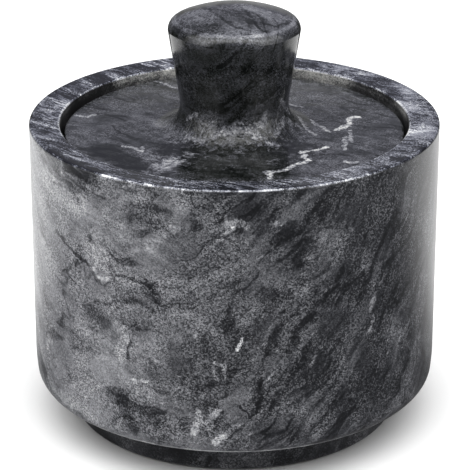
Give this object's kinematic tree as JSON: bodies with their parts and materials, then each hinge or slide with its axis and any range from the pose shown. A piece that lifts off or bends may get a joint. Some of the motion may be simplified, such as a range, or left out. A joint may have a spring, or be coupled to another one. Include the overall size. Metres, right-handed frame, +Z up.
{
  "type": "salt cellar",
  "caption": "Round stone salt cellar: a thick-walled jar on a low foot, with a drop-in lid that lifts off by a flared knob.",
  "frame": {"origin": "middle of the plane that the pads stand on, on the turning axis", "axes": "+Z up along the turning axis, from the foot to the knob; +X and +Y level, each through the middle of a pad"},
  "size_m": [0.105, 0.105, 0.1094],
  "materials": {
    "marble_jar": "dark grey marble with lighter clouds and white flecks, honed and waxed to a soft sheen",
    "marble_lid": "dark grey marble with a few white veins, polished",
    "rubber_pads": "matt moulded rubber"
  },
  "bodies": {
    "jar": {"jar": "marble_jar", "pads": "rubber_pads"},
    "lid": {"lid": "marble_lid"}
  },
  "joints": [
    {"name": "lid_lift", "type": "slide", "parent": "jar", "child": "lid", "axis": [0, 0, 1], "range_m": [0, 0.08]}
  ]
}
